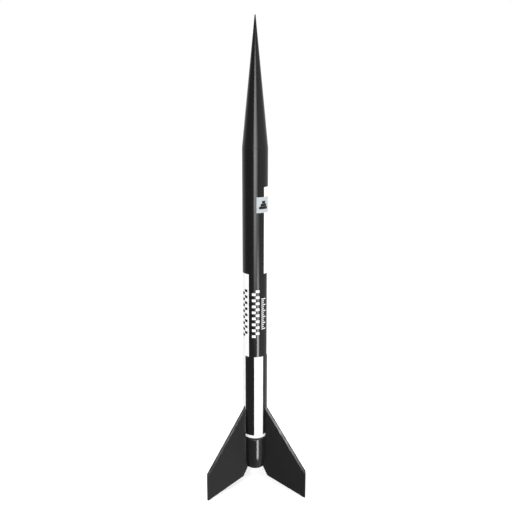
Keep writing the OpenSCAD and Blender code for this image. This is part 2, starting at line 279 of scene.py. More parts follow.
def turned(outline, turns, relief=None, centre=(0.0, 0.0)):
    """A closed outline of radius and height carried round the axis: a point is at radius times
    (sin turn, -cos turn) from the centre. relief(radius, turn, height) moves the radius.
    A full circle joins its ends, and a part circle gets an end face on each."""
    full = turns[-1] - turns[0] >= 360
    turns = np.radians(turns[:-1] if full else turns)[:, None]
    radius = np.broadcast_to(outline[:, 0], (len(turns), len(outline)))
    height = np.broadcast_to(outline[:, 1], radius.shape)
    if relief is not None:
        radius = relief(radius, turns, height)
    points = np.stack(
        [centre[0] + radius * np.sin(turns), centre[1] - radius * np.cos(turns), height], -1
    )
    faces = grid_faces(len(turns), len(outline), wrap_rows=full, wrap_columns=True)
    if not full:
        last = (len(turns) - 1) * len(outline)
        faces.append(list(range(len(outline))))
        faces.append(list(range(last + len(outline) - 1, last - 1, -1)))
    return points, faces


def new_material(name, colour, sockets):
    """A material by that name. Its constant values go on the shader's own sockets."""
    material = bpy.data.materials.new(name)
    material.use_nodes = True
    shader = material.node_tree.nodes["Principled BSDF"]
    shader.inputs["Base Color"].default_value = linear(colour)
    for socket, value in sockets.items():
        shader.inputs[socket].default_value = value
    return material, material.node_tree, shader


def spiral_seam(tree, pitch, width):
    """How far into a screw-thread seam a point is, 0 to 1: the height, less the turn round the axis
    times the pitch, is wrapped to one pitch, and is inside the seam within half its width of 0."""
    place = add_node(tree, "ShaderNodeTexCoord").outputs["Object"]
    axes = add_node(tree, "ShaderNodeSeparateXYZ", {0: place}).outputs
    turn = add_node(tree, "ShaderNodeMath", {0: axes[1], 1: axes[0]}, operation="ARCTAN2").outputs[0]
    climb = add_node(
        tree, "ShaderNodeMath", {0: turn, 1: pitch / (2 * math.pi), 2: axes[2]}, operation="MULTIPLY_ADD"
    ).outputs[0]
    within = add_node(tree, "ShaderNodeMath", {0: climb, 1: pitch / 2}, operation="PINGPONG").outputs[0]
    return add_node(
        tree, "ShaderNodeMapRange",
        {"Value": within, "From Min": 0.0, "From Max": width, "To Min": 1.0, "To Max": 0.0},
    ).outputs["Result"]


TUBE_R = 16.85
TUBE_BORE_R = 16.3
TUBE_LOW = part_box("body_tube")[0][2] / MM
TUBE_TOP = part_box("body_tube")[1][2] / MM
full_circle = np.linspace(-180, 180, 193)

# Glassine over kraft paper. The white layer is smooth and half glossy; the bore is brown kraft.
tube_paper, tree, shader = new_material(
    "glassine_coated_kraft_tube", "#e2e2df", {"Roughness": 0.32, "IOR": 1.46}
)
place = add_node(tree, "ShaderNodeTexCoord").outputs["Object"]
flat_place = add_node(tree, "ShaderNodeVectorMath", {0: place, 1: (1, 1, 0)}, operation="MULTIPLY").outputs[0]
from_axis = add_node(tree, "ShaderNodeVectorMath", {0: flat_place}, operation="LENGTH").outputs["Value"]
outside = add_node(
    tree, "ShaderNodeMath", {0: from_axis, 1: (TUBE_R - 0.12) * MM}, operation="GREATER_THAN"
).outputs[0]
kraft_fibre = add_node(
    tree, "ShaderNodeTexNoise", {"Vector": place, "Scale": 1 / (1.2 * MM), "Detail": 4.0}
).outputs["Fac"]
kraft = add_node(tree, "ShaderNodeMix", {
    "Factor": kraft_fibre, 6: linear("#a98357"), 7: linear("#c6a377"),
}, data_type="RGBA")
seam = spiral_seam(tree, 96 * MM, 0.7 * MM)
white = add_node(tree, "ShaderNodeMix", {
    "Factor": seam, 6: linear("#e2e2df"), 7: linear("#d3d2cd"),
}, data_type="RGBA")
layers = add_node(tree, "ShaderNodeMix", {"Factor": outside}, data_type="RGBA")
tree.links.new(kraft.outputs[2], layers.inputs[6])
tree.links.new(white.outputs[2], layers.inputs[7])
tree.links.new(layers.outputs[2], shader.inputs["Base Color"])
groove = add_node(
    tree, "ShaderNodeBump", {"Strength": 0.35, "Distance": 0.08 * MM, "Height": seam}, invert=True
)
tree.links.new(groove.outputs[0], shader.inputs["Normal"])

points, faces = turned(
    rounded([
        (TUBE_BORE_R, TUBE_LOW, 0.12), (TUBE_R, TUBE_LOW, 0.18),
        (TUBE_R, TUBE_TOP, 0.18), (TUBE_BORE_R, TUBE_TOP, 0.12),
    ]),
    full_circle,
)
add_piece("body_tube_paper", points, faces, tube_paper, "airframe", ["body_tube"])

# --- Nose cone ------------------------------------------------------------------------
# Moulded in black polystyrene in two halves, so a faint mould line runs down each side.
# Its shoulder slides into the tube, and a plug with an eyelet closes the open end.
NOSE_LENGTH = 161.6
NOSE_TIP_R = 0.65
SHOULDER_R = TUBE_BORE_R - 0.08
SHOULDER_LOW = TUBE_TOP - 27.0
SHOULDER_WALL = 1.3

# Polished tool steel leaves a high gloss, with the very faint ripple of moulded polystyrene.
nose_plastic, tree, shader = new_material(
    "moulded_black_polystyrene", "#0a0a0a", {"Roughness": 0.26, "IOR": 1.36}
)
place = add_node(tree, "ShaderNodeTexCoord").outputs["Object"]
ripple = add_node(tree, "ShaderNodeTexNoise", {"Vector": place, "Scale": 1 / (2.5 * MM), "Detail": 2.0})
dull = add_node(
    tree, "ShaderNodeMapRange",
    {"Value": ripple.outputs["Fac"], "From Min": 0.3, "From Max": 0.7, "To Min": 0.17, "To Max": 0.21},
)
tree.links.new(dull.outputs["Result"], shader.inputs["Roughness"])
skin_bump = add_node(
    tree, "ShaderNodeBump", {"Strength": 0.05, "Distance": 0.02 * MM, "Height": ripple.outputs["Fac"]}
)
tree.links.new(skin_bump.outputs[0], shader.inputs["Normal"])


def mould_line(radius, turn, height):
    """The radius with a ridge at each side: 0.06 mm high and bell-shaped across half a millimetre."""
    aside = (np.degrees(turn) % 180 - 90) * math.pi / 180 * radius
    return radius + 0.06 * np.exp(-((aside / 0.22) ** 2))


tip_arc = np.radians(np.linspace(8, 88, 8))
tip_points = np.stack(
    [NOSE_TIP_R * np.cos(tip_arc), TUBE_TOP + NOSE_LENGTH - NOSE_TIP_R + NOSE_TIP_R * np.sin(tip_arc)], 1
)
side = np.linspace(0, 1, 24)[1:-1, None]
side_points = np.array([[TUBE_R, TUBE_TOP + 0.6]]) * (1 - side) + tip_points[:1] * side
lower_points = rounded([
    (0.01, TUBE_TOP + 118, 0), (SHOULDER_R - SHOULDER_WALL, TUBE_TOP, 0),
    (SHOULDER_R - SHOULDER_WALL, SHOULDER_LOW, 0.3), (SHOULDER_R, SHOULDER_LOW, 0.5),
    (SHOULDER_R, TUBE_TOP + 0.02, 0), (TUBE_R - 0.05, TUBE_TOP + 0.02, 0.25), (TUBE_R, TUBE_TOP + 0.6, 0),
])
outline = np.vstack([lower_points, side_points, tip_points, [[0.0, TUBE_TOP + NOSE_LENGTH]]])
nose_turns = np.unique(np.concatenate([full_circle, *[s + np.linspace(-3, 3, 13) for s in (-90, 90)]]))
points, faces = turned(outline, nose_turns, relief=mould_line)
add_piece(
    "nose_cone_moulding", points, faces, nose_plastic, "nose", ["nose_cone"],
    lit_by_strips=True,
)

PLUG_T = 2.5
EYELET_R = 2.6
EYELET_WIRE_R = 0.9
PLUG_R = SHOULDER_R - SHOULDER_WALL - 0.05
plug_points, plug_faces = turned(
    rounded([
        (0.01, SHOULDER_LOW, 0), (PLUG_R, SHOULDER_LOW, 0.5),
        (PLUG_R, SHOULDER_LOW + PLUG_T, 0.2), (0.01, SHOULDER_LOW + PLUG_T, 0),
    ]),
    full_circle,
)
ring_turn = np.linspace(0, 2 * math.pi, 48, endpoint=False)[:, None]
wire_turn = np.linspace(0, 2 * math.pi, 20, endpoint=False)[None, :]
from_centre = EYELET_R + EYELET_WIRE_R * np.cos(wire_turn)
eyelet_points = np.stack([
    from_centre * np.cos(ring_turn),
    np.broadcast_to(EYELET_WIRE_R * np.sin(wire_turn), (48, 20)),
    SHOULDER_LOW - EYELET_R + 0.3 + from_centre * np.sin(ring_turn),
], -1)
points = np.concatenate([plug_points.reshape(-1, 3), eyelet_points.reshape(-1, 3)])
faces = plug_faces + [
    [plug_points.size // 3 + i for i in face]
    for face in grid_faces(48, 20, wrap_rows=True, wrap_columns=True)
]
add_piece("nose_plug_moulding", points, faces, nose_plastic, "nose", ["nose_plug"])

# --- Tail cone ------------------------------------------------------------------------
# The same black polystyrene. Its shoulder is glued into the tube, a groove shows below
# the tube's end, and the aft end curves in to the motor tube, with a notch for the hook.
TAIL_R = 16.0
TAIL_END_R = 13.6
TAPER_TOP = 19.0
TAIL_RIM = 44.8
NECK_R = 15.0
MOUNT_R = 9.45
HOOK_TURN = 240.0
taper_curve_r = (TAPER_TOP ** 2 + (TAIL_R - TAIL_END_R) ** 2) / (2 * (TAIL_R - TAIL_END_R))


def taper_radius(height):
    """The taper's radius: an arc that is upright at its top and TAIL_END_R wide at height 0."""
    return TAIL_R - taper_curve_r + np.sqrt(taper_curve_r ** 2 - np.clip(TAPER_TOP - height, 0, None) ** 2)


def hook_notch(radius, turn, height):
    """The radius, but where the end plate's hole meets the hook it is cut out to 12.6 mm."""
    off = np.abs((np.degrees(turn) - HOOK_TURN + 180) % 360 - 180)
    in_plate = (height < 3.2) & (radius < 9.8)
    return np.where(in_plate & (off < 9.6), 12.6 * np.cos(np.radians(off)), radius)


# The same plastic, but the neck in the groove is left matt from the mould, as a key for the glue.
tail_plastic = nose_plastic.copy()
tail_plastic.name = "moulded_black_polystyrene_matt_neck"
tree = tail_plastic.node_tree
shader = tree.nodes["Principled BSDF"]
polish = shader.inputs["Roughness"].links[0].from_socket
place = add_node(tree, "ShaderNodeTexCoord").outputs["Object"]
height = add_node(tree, "ShaderNodeSeparateXYZ", {0: place}).outputs[2]
in_neck = add_node(
    tree, "ShaderNodeMath", {0: height, 1: (TAIL_RIM - 0.05) * MM}, operation="GREATER_THAN"
).outputs[0]
keyed = add_node(tree, "ShaderNodeMix", {0: in_neck, 2: polish, 3: 0.75})
tree.links.new(keyed.outputs[0], shader.inputs["Roughness"])

taper_heights = np.linspace(0.9, TAPER_TOP, 14)
taper_points = np.stack([taper_radius(taper_heights), taper_heights], 1)
end_points = rounded(
    [(MOUNT_R, 3.0, 0.2), (MOUNT_R, 0, 0.3), (TAIL_END_R - 0.05, 0, 0.6), (*taper_points[0], 0)]
)[:-1]
rim_points = rounded([
    (TAIL_R, TAPER_TOP, 0), (TAIL_R, TAIL_RIM, 0.7), (NECK_R, TAIL_RIM, 0.25), (NECK_R, TUBE_LOW, 0.2),
    (TUBE_BORE_R - 0.05, TUBE_LOW, 0.1), (TUBE_BORE_R - 0.05, TUBE_LOW + 12, 0.5),
    (TUBE_BORE_R - 1.45, TUBE_LOW + 12, 0.3), (NECK_R - 1.4, TUBE_LOW, 0), (NECK_R - 1.4, TAIL_RIM - 1.4, 0),
    (TAIL_R - 1.4, TAIL_RIM - 2.8, 0), (TAIL_R - 1.4, TAPER_TOP, 0), (TAIL_END_R - 1.4, 3.0, 0.4),
])[1:]
notch_edges = HOOK_TURN - 360 + np.array([-9.62, -9.58, 9.58, 9.62])
tail_turns = np.unique(np.concatenate([full_circle, notch_edges]))
points, faces = turned(np.vstack([end_points, taper_points, rim_points]), tail_turns, relief=hook_notch)
add_piece(
    "tail_cone_moulding", points, faces, tail_plastic, "airframe", ["tail_cone"],
    lit_by_strips=True,
)

# --- Fins -----------------------------------------------------------------------------
# Three swept fins of sealed and sanded plywood, painted satin black. The leading edge is
# bevelled on both faces, and the other edges are just broken.
FIN_T = 3.2
FIN_TIP_R = 78.5
FIN_ROOT_TOP = 94.8
FIN_TIP_TOP = 9.2
FIN_TIP_LOW = -32.2
FIN_KINK = np.array([20.3, -13.4])
FIN_FOOT = np.array([13.7, -1.5])
BEVEL_W = 3.5
EDGE_T = 0.9
BROKEN = 0.35

# Satin enamel over sanded ply: the paint fills the grain, but long shallow lines still show
# through it along the sheet. The lines are spaced about a millimetre so that they can be seen.
fin_paint, tree, shader = new_material("satin_enamel_on_plywood", "#0d0d0d", {"Roughness": 0.32, "IOR": 1.36})
place = add_node(tree, "ShaderNodeTexCoord").outputs["Object"]
flat_place = add_node(tree, "ShaderNodeVectorMath", {0: place, 1: (1, 1, 0)}, operation="MULTIPLY").outputs[0]
out_from_axis = add_node(tree, "ShaderNodeVectorMath", {0: flat_place}, operation="LENGTH").outputs["Value"]
height = add_node(tree, "ShaderNodeSeparateXYZ", {0: place}).outputs[2]
across = add_node(
    tree, "ShaderNodeMath", {0: out_from_axis, 1: 0.81 / 0.584, 2: height}, operation="MULTIPLY_ADD"
).outputs[0]
along = add_node(
    tree, "ShaderNodeMath", {0: out_from_axis, 1: -0.584 / 0.81 * 0.06, 2: 0.0}, operation="MULTIPLY_ADD"
).outputs[0]
grain_place = add_node(tree, "ShaderNodeCombineXYZ", {0: across, 1: along}).outputs[0]
grain = add_node(tree, "ShaderNodeTexNoise", {"Vector": grain_place, "Scale": 1 / (1.1 * MM), "Detail": 3.0})
grain_bump = add_node(
    tree, "ShaderNodeBump", {"Strength": 0.18, "Distance": 0.04 * MM, "Height": grain.outputs["Fac"]}
)
tree.links.new(grain_bump.outputs[0], shader.inputs["Normal"])
mottle = add_node(tree, "ShaderNodeTexNoise", {"Vector": place, "Scale": 1 / (9 * MM), "Detail": 3.0})
dull = add_node(
    tree, "ShaderNodeMapRange",
    {"Value": mottle.outputs["Fac"], "From Min": 0.3, "From Max": 0.7, "To Min": 0.29, "To Max": 0.36},
)
tree.links.new(dull.outputs["Result"], shader.inputs["Roughness"])


def eased(count, edge, dense):
    """Numbers from 0 to 1 for a grid: a few close to each end, where the edges are broken."""
    near = np.linspace(0, edge, dense)
    return np.concatenate([near[:-1], np.linspace(edge, 1 - edge, count), 1 - near[::-1][1:]])


def seat_radius(height):
    """Where a fin root rests, by height: on the tail cone's taper and side, and then on the tube."""
    on_tail = taper_radius(np.clip(height, 0.5, TAPER_TOP)) + 0.05
    on_neck = np.interp(height, [TAIL_RIM, TUBE_LOW], [TAIL_R + 0.05, TUBE_R + 0.15])
    return np.where(height > TAIL_RIM, on_neck, on_tail)


def fin_side(side):
    """One face of a fin, as radius, height and half thickness on a grid of chord by span. Rows run
    from root to tip between three lines: the seat, the chord at the kink, and the tip."""
    chord = eased(26, 0.012, 6)[None, :]
    chord = np.unique(np.concatenate([chord[0], np.linspace(0, 0.12, 14)]))[None, :]
    span = np.concatenate([np.linspace(0, 1, 4)[:-1], 1 + eased(16, 0.012, 6)])[:, None]
    edge_z = FIN_ROOT_TOP + (FIN_KINK[0] - TUBE_R) / (FIN_TIP_R - TUBE_R) * (FIN_TIP_TOP - FIN_ROOT_TOP)
    root_z = FIN_ROOT_TOP + chord * (FIN_FOOT[1] - FIN_ROOT_TOP)
    root_r = np.where(root_z < 0, FIN_FOOT[0] + 0 * root_z, seat_radius(root_z))
    kink_z = edge_z + chord * (FIN_KINK[1] - edge_z)
    tip_z = FIN_TIP_TOP + chord * (FIN_TIP_LOW - FIN_TIP_TOP)
    inner, outer = np.clip(span, 0, 1), np.clip(span - 1, 0, 1)
    radius = root_r + inner * (FIN_KINK[0] - root_r) + outer * (FIN_TIP_R - FIN_KINK[0])
    height = root_z + inner * (kink_z - root_z) + outer * (tip_z - kink_z)
    edge_run = np.array([FIN_TIP_R - TUBE_R, FIN_TIP_TOP - FIN_ROOT_TOP])
    from_edge = (
        (FIN_ROOT_TOP - height) * edge_run[0] + (radius - TUBE_R) * edge_run[1]
    ) / np.hypot(*edge_run)
    trail_run = np.array([FIN_TIP_R - FIN_KINK[0], FIN_TIP_LOW - FIN_KINK[1]])
    above_kink, past_kink = height - FIN_KINK[1], radius - FIN_KINK[0]
    from_trail = (above_kink * trail_run[0] - past_kink * trail_run[1]) / np.hypot(*trail_run)
    foot_run = FIN_FOOT - FIN_KINK
    from_foot = np.abs(above_kink * foot_run[0] - past_kink * foot_run[1]) / np.hypot(*foot_run)
    from_back = np.where(radius > FIN_KINK[0], from_trail, from_foot)
    half = np.minimum(FIN_T / 2, EDGE_T / 2 + (FIN_T - EDGE_T) / 2 * np.clip(from_edge, 0, None) / BEVEL_W)
    for distance, broken in ((from_edge, EDGE_T * 0.4), (from_back, BROKEN), (FIN_TIP_R - radius, BROKEN)):
        near = np.clip(1 - np.clip(distance, 0, None) / broken, 0, 1)
        half = half - broken * (1 - np.sqrt(1 - near ** 2))
    return radius, height, side * half


def fin_points(turn):
    """Both faces of a fin, turned to their place. Point to axis is the radius, so that the root
    follows the round body: its distance along the fin is root(radius squared - half squared)."""
    faces_of_fin = [fin_side(side) for side in (1, -1)]
    placed = []
    for radius, height, half in faces_of_fin:
        along = np.where(radius < FIN_KINK[0], np.sqrt(radius ** 2 - half ** 2), radius)
        placed.append(np.stack([
            along * np.sin(turn) + half * np.cos(turn), -along * np.cos(turn) + half * np.sin(turn), height,
        ], -1))
    return placed


def fin_faces(rows, columns):
    """The two faces' grids and the wall that joins their four borders."""
    count = rows * columns
    first = grid_faces(rows, columns)
    second = [[count + i for i in face] for face in first]
    border = (
        [j for j in range(columns)]
        + [i * columns + columns - 1 for i in range(1, rows)]
        + [(rows - 1) * columns + j for j in range(columns - 2, -1, -1)]
        + [i * columns for i in range(rows - 2, 0, -1)]
    )
    wall = [[a, b, count + b, count + a] for a, b in zip(border, border[1:] + border[:1])]
    return first + second + wall


for name, degrees in (("left", -60), ("right", 60), ("rear", 180)):
    front, back = fin_points(math.radians(degrees))
    points = np.concatenate([front.reshape(-1, 3), back.reshape(-1, 3)])
    fin_group.objects.link(add_piece(
        f"fin_{name}_board", points, fin_faces(*front.shape[:2]), fin_paint, "airframe",
        [f"fin_{name}"], sharp=50,
    ))

# --- Roll pattern ---------------------------------------------------------------------
# Cast vinyl film, a tenth of a millimetre thick, cut in blocks and rubbed down on the tube.
# The blocks' edges stand up just enough to see, and show how the rocket rolls in flight.
FILM_T = 0.1
FILM_R = TUBE_R + FILM_T

# Gloss black cast film: smooth, with a faint orange peel that comes from the glue under it.
black_film, tree, shader = new_material("gloss_black_cast_vinyl", "#080808", {"Roughness": 0.17, "IOR": 1.36})
place = add_node(tree, "ShaderNodeTexCoord").outputs["Object"]
peel = add_node(tree, "ShaderNodeTexNoise", {"Vector": place, "Scale": 1 / (3.0 * MM), "Detail": 2.0})
peel_bump = add_node(
    tree, "ShaderNodeBump", {"Strength": 0.06, "Distance": 0.02 * MM, "Height": peel.outputs["Fac"]}
)
tree.links.new(peel_bump.outputs[0], shader.inputs["Normal"])


def film_block(low, high, first_turn, last_turn, radius):
    """One block of film between two heights and two directions, lying on a radius."""
    outline = rounded([
        (radius, low, 0), (radius + FILM_T, low, 0.04), (radius + FILM_T, high, 0.04), (radius, high, 0),
    ], steps=2)
    count = max(3, int((last_turn - first_turn) / 1.5) + 1)
    return turned(outline, np.linspace(first_turn, last_turn, count))


def joined(shapes):
    """Several shapes' points and faces as one shape's."""
    points, faces = [], []
    for shape_points, shape_faces in shapes:
        start = sum(len(p) for p in points)
        points.append(np.asarray(shape_points).reshape(-1, 3))
        faces.extend([[start + i for i in face] for face in shape_faces])
    return np.concatenate(points), faces


tube_length = TUBE_TOP - TUBE_LOW
roll_z = [TUBE_LOW + share * tube_length for share in (0.0105, 0.3018, 0.591, 0.8778, 1.0)]
CHECK_TURN, CHECK_SPAN = 91.0, 47.0
# The first lower check starts just beside the left fin, and the third ends just under the rear one
CHECK_FIN_GAP, CHECK_FIN_LAP = 0.16, 0.13
fin_side_turn = math.degrees(math.asin(FIN_T / 2 / TUBE_R))
first_check_turn = -60 + fin_side_turn + math.degrees(CHECK_FIN_GAP / TUBE_R)
check_turns = [first_check_turn + place * CHECK_TURN for place in range(4)]
check_turns[2] = 180 - fin_side_turn + math.degrees(CHECK_FIN_LAP / TUBE_R) - CHECK_SPAN
MIDDLE_TURN, MIDDLE_SPAN = -32.5, 96.5
film_blocks = {
    "wrap_forward": (roll_z[3], roll_z[4], -180.0, 180.0),
    "wrap_upper": (roll_z[2], roll_z[3], -140.0, 40.0),
    "wrap_middle_front": (roll_z[1], roll_z[2], MIDDLE_TURN, MIDDLE_TURN + MIDDLE_SPAN),
    "wrap_middle_back": (roll_z[1], roll_z[2], MIDDLE_TURN + 180, MIDDLE_TURN + 180 + MIDDLE_SPAN),
}
for start_turn, side_name in zip(check_turns, ("left", "right", "back_right", "back_left")):
    film_blocks[f"wrap_lower_{side_name}"] = (roll_z[0], roll_z[1], start_turn, start_turn + CHECK_SPAN)
for node_name, block in film_blocks.items():
    points, faces = film_block(*block, TUBE_R)
    add_piece(
        f"{node_name}_film", points, faces, black_film, "airframe", [node_name],
        lit_by_strips=True,
    )

# --- Emblem and scales ----------------------------------------------------------------
# A square grey decal with a stepped figure, and three plain scales, as range cameras read
# them: two staffs of blocks and a ruler. They are printed film, laid over the roll pattern.
EMBLEM_TURN = 37.5
EMBLEM_Z = roll_z[3] - 22.9
EMBLEM_SIDE = 20.4
SCALE_Z = (roll_z[1] + roll_z[2]) / 2 + 3.5

# Semi-gloss printed film. The grey has the faint mottle of a printed tint.
grey_film, tree, shader = new_material("printed_grey_vinyl", "#aeb3b6", {"Roughness": 0.3, "IOR": 1.46})
place = add_node(tree, "ShaderNodeTexCoord").outputs["Object"]
tint = add_node(tree, "ShaderNodeTexNoise", {"Vector": place, "Scale": 1 / (0.8 * MM), "Detail": 3.0})
tinted = add_node(tree, "ShaderNodeMix", {
    "Factor": tint.outputs["Fac"], 6: linear("#a6abad"), 7: linear("#b3b8ba"),
}, data_type="RGBA")
tree.links.new(tinted.outputs[2], shader.inputs["Base Color"])
white_film, tree, shader = new_material("gloss_white_cast_vinyl", "#e6e6e6", {"Roughness": 0.26, "IOR": 1.46})
place = add_node(tree, "ShaderNodeTexCoord").outputs["Object"]
peel = add_node(tree, "ShaderNodeTexNoise", {"Vector": place, "Scale": 1 / (3.0 * MM), "Detail": 2.0})
peel_bump = add_node(
    tree, "ShaderNodeBump", {"Strength": 0.06, "Distance": 0.02 * MM, "Height": peel.outputs["Fac"]}
)
tree.links.new(peel_bump.outputs[0], shader.inputs["Normal"])

half_turn = math.degrees(EMBLEM_SIDE / FILM_R / 2)
points, faces = film_block(
    EMBLEM_Z - EMBLEM_SIDE / 2, EMBLEM_Z + EMBLEM_SIDE / 2,
    EMBLEM_TURN - half_turn, EMBLEM_TURN + half_turn, FILM_R,
)
add_piece("emblem_square", points, faces, grey_film, "airframe", ["emblem_decal"])
# Three bars, each shorter than the one below it, a hair apart
BAR_PITCH, BAR_GAP = 3.6, 0.2
bars_of_figure = [
    film_block(
        EMBLEM_Z + (step - 1.5) * BAR_PITCH, EMBLEM_Z + (step - 0.5) * BAR_PITCH - BAR_GAP,
        EMBLEM_TURN - 23 + 7 * step, EMBLEM_TURN + 23 - 7 * step, FILM_R + FILM_T,
    )
    for step in range(3)
]
points, faces = joined(bars_of_figure)
add_piece("emblem_figure", points, faces, black_film, "airframe", ["emblem_mark"])


def staff(rows, pitch, first_turn, last_turn, radius):
    """A staff scale: blocks that stand to the left and to the right of its middle in turn."""
    middle = (first_turn + last_turn) / 2
    blocks = []
    for row in range(rows):
        low = SCALE_Z + (row - rows / 2) * pitch
        ends = (first_turn, middle) if row % 2 == 0 else (middle, last_turn)
        blocks.append(film_block(low, low + pitch - 0.6, *ends, radius))
    return joined(blocks)


def ruler(rows, pitch, first_turn, last_turn, radius):
    """A ruler: thin lines, of which every third one runs the whole way."""
    lines = []
    for row in range(rows):
        low = SCALE_Z + (row - rows / 2) * pitch
        reach = 1.0 if row % 3 == 0 else 0.55
        line_end = first_turn + reach * (last_turn - first_turn)
        lines.append(film_block(low, low + 1.2, first_turn, line_end, radius))
    return joined(lines)


points, faces = staff(16, 4.2, -17, 17, FILM_R)
add_piece("staff_on_black", points, faces, white_film, "airframe", ["scale_light"])
points, faces = staff(16, 4.2, -73, -40, TUBE_R)
add_piece("staff_on_white", points, faces, black_film, "airframe", ["scale_dark"])
points, faces = ruler(16, 2.8, 27, 51, FILM_R)
add_piece("ruler_on_black", points, faces, white_film, "airframe", ["ticks_light"])

# --- Motor mount ----------------------------------------------------------------------
# A kraft paper tube for an 18 mm motor, held in the body by two rings of laminated board.
# A thrust ring on its forward end stops the motor. Both board rings are notched for the hook.
MOTOR_BORE_R = 9.05
MOTOR_TUBE_R = 9.4
MOTOR_TUBE_LEN = 67.0
THRUST_RING_T = 3.0

# Kraft paper wound in a spiral: brown, matt and fibrous, with one seam.
kraft_tube, tree, shader = new_material("spiral_wound_kraft_paper", "#b28d60", {"Roughness": 0.85})
place = add_node(tree, "ShaderNodeTexCoord").outputs["Object"]
long_place = add_node(
    tree, "ShaderNodeVectorMath", {0: place, 1: (1, 1, 0.3)}, operation="MULTIPLY"
).outputs[0]
fibre = add_node(tree, "ShaderNodeTexNoise", {"Vector": long_place, "Scale": 1 / (0.7 * MM), "Detail": 5.0})
brown = add_node(tree, "ShaderNodeMix", {
    "Factor": fibre.outputs["Fac"], 6: linear("#9a744a"), 7: linear("#c9a677"),
}, data_type="RGBA")
seam = spiral_seam(tree, 42 * MM, 0.5 * MM)
dark_seam = add_node(tree, "ShaderNodeMix", {"Factor": seam, 6: brown.outputs[2]}, data_type="RGBA")
dark_seam.inputs[7].default_value = linear("#7d5c38")
tree.links.new(dark_seam.outputs[2], shader.inputs["Base Color"])
fibre_bump = add_node(
    tree, "ShaderNodeBump", {"Strength": 0.3, "Distance": 0.05 * MM, "Height": fibre.outputs["Fac"]}
)
tree.links.new(fibre_bump.outputs[0], shader.inputs["Normal"])

# Laminated board: pale plies half a millimetre thick show round the edge as fine lines.
board, tree, shader = new_material("laminated_ring_board", "#cdb088", {"Roughness": 0.8})
place = add_node(tree, "ShaderNodeTexCoord").outputs["Object"]
plies = add_node(
    tree, "ShaderNodeTexWave", {"Vector": place, "Scale": 2 * math.pi / 20 / (0.5 * MM), "Distortion": 1.5},
    bands_direction="Z",
)
pulp = add_node(tree, "ShaderNodeTexNoise", {"Vector": place, "Scale": 1 / (0.9 * MM), "Detail": 4.0})
ply_mix = add_node(
    tree, "ShaderNodeMath", {0: plies.outputs["Fac"], 1: pulp.outputs["Fac"]}, operation="MULTIPLY"
)
ply_colour = add_node(tree, "ShaderNodeMix", {
    "Factor": ply_mix.outputs[0], 6: linear("#b08f62"), 7: linear("#dcc49c"),
}, data_type="RGBA")
tree.links.new(ply_colour.outputs[2], shader.inputs["Base Color"])
pulp_bump = add_node(
    tree, "ShaderNodeBump", {"Strength": 0.25, "Distance": 0.05 * MM, "Height": pulp.outputs["Fac"]}
)
tree.links.new(pulp_bump.outputs[0], shader.inputs["Normal"])

points, faces = turned(
    rounded([
        (MOTOR_BORE_R, 0, 0.1), (MOTOR_TUBE_R, 0, 0.1),
        (MOTOR_TUBE_R, MOTOR_TUBE_LEN, 0), (MOTOR_BORE_R, MOTOR_TUBE_LEN, 0),
    ], steps=3),
    full_circle,
)
add_piece("motor_tube_paper", points, faces, kraft_tube, "airframe", ["motor_tube"])
points, faces = turned(
    rounded([
        (6.5, MOTOR_TUBE_LEN, 0.2), (MOTOR_TUBE_R, MOTOR_TUBE_LEN, 0),
        (MOTOR_TUBE_R, MOTOR_TUBE_LEN + THRUST_RING_T, 0.3), (6.5, MOTOR_TUBE_LEN + THRUST_RING_T, 0.3),
    ]),
    full_circle,
)
add_piece("thrust_ring_board", points, faces, board, "airframe", ["thrust_ring"])


def board_ring(name, outer_r, low, high, notch_r):
    """A board ring round the motor tube, its hole cut out to notch_r where the hook passes."""

    def notch(radius, turn, height):
        """The radius, or notch_r on the hole's wall within 11 degrees of the hook."""
        off = np.abs((np.degrees(turn) - HOOK_TURN + 180) % 360 - 180)
        return np.where((radius < MOUNT_R + 0.5) & (off < 11), notch_r, radius)

    outline = rounded(
        [(MOUNT_R, low, 0.15), (outer_r, low, 0.2), (outer_r, high, 0.2), (MOUNT_R, high, 0.15)]
    )
    notch_sides = HOOK_TURN - 360 + np.array([-11.02, -10.98, 10.98, 11.02])
    turns = np.unique(np.concatenate([full_circle, notch_sides]))
    ring_points, ring_faces = turned(outline, turns, relief=notch)
    add_piece(f"{name}_board", ring_points, ring_faces, board, "airframe", [name])


RING_T = 3.2
board_ring("centering_ring_forward", TUBE_BORE_R - 0.05, 63.0, 63.0 + RING_T, 10.3)
board_ring("centering_ring_aft", NECK_R - 1.45, TAIL_RIM + 0.1, TAIL_RIM + 0.1 + RING_T, 10.9)

# --- Motor hook -----------------------------------------------------------------------
# One strip of blued spring steel, bent over the thrust ring at its forward end and in under
# the motor at its aft end. A paper band ties it down.
HOOK_W = 3.2
HOOK_T = 0.6
HOOK_R = 9.5 + HOOK_T / 2
HOOK_TOP = 70.1 + HOOK_T / 2
HOOK_LOW = -3.2 - HOOK_T / 2

